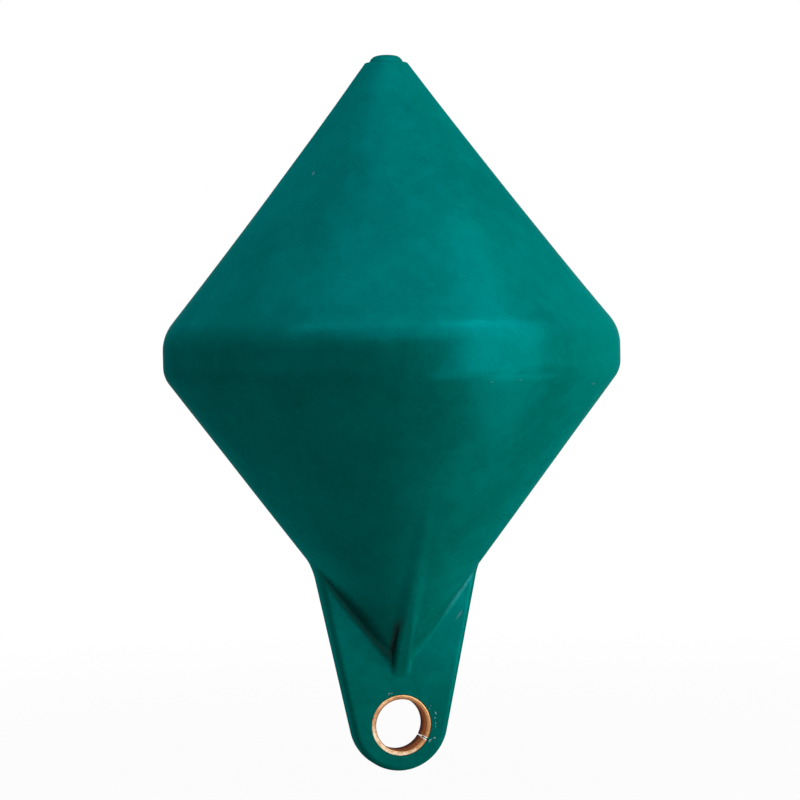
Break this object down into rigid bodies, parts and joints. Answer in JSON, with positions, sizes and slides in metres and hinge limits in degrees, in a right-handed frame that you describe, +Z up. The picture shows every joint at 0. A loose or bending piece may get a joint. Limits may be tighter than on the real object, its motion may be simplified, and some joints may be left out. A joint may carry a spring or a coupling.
{
  "type": "anchor buoy",
  "caption": "Small biconical marker buoy with a girth band, a domed filler plug in its crown and a tapered mooring lug whose eye holds a wrapped metal bush.",
  "frame": {"origin": "on the buoy's axis at its moored waterline, the lower corner of the girth band", "axes": "+Z up the axis to the crown; the lug plate stands in the XZ plane, so the eye's axis runs along Y"},
  "size_m": [0.4, 0.3999, 0.6265],
  "materials": {
    "moulded_plastic": "satin moulded polyethylene",
    "bush_metal": "rolled copper alloy, bright at its rims and tarnished inside"
  },
  "bodies": {
    "root": {"float_body": "moulded_plastic", "filler_plug": "moulded_plastic", "eye_bush": "bush_metal"}
  },
  "joints": []
}
